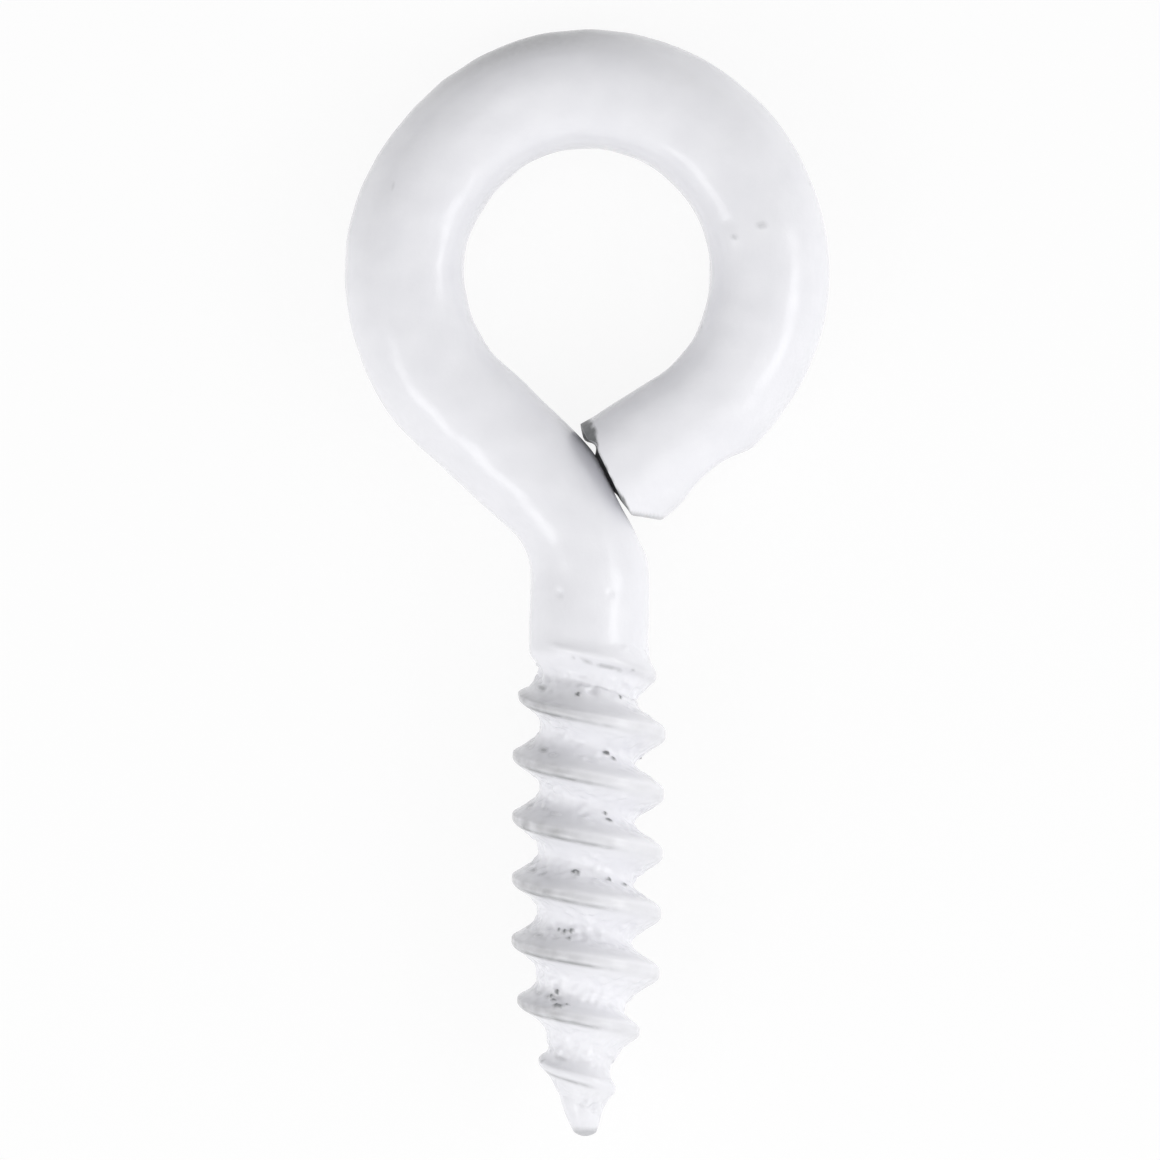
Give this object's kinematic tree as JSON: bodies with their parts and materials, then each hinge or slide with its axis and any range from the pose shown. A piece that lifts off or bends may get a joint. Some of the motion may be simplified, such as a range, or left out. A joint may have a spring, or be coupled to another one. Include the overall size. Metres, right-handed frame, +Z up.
{
  "type": "screw eye",
  "caption": "Small screw eye with a white enamel coat: a wire bent into a closed eye on a short plain shank, with a coarse rolled wood-screw thread and a gimlet point.",
  "frame": {"origin": "on the shank's axis at the shoulder, where the plain shank ends and the thread starts", "axes": "the part lies flat: +Y along the shank from the point to the eye, +Z up through the eye, +X across, away from the side to which the neck is bent"},
  "size_m": [0.0131, 0.0299, 0.0042],
  "materials": {
    "white_enamel": "gloss white enamel over bright steel wire, a little thick on the thread and worn thin at the sheared end"
  },
  "bodies": {
    "root": {"screw_eye": "white_enamel"}
  },
  "joints": []
}
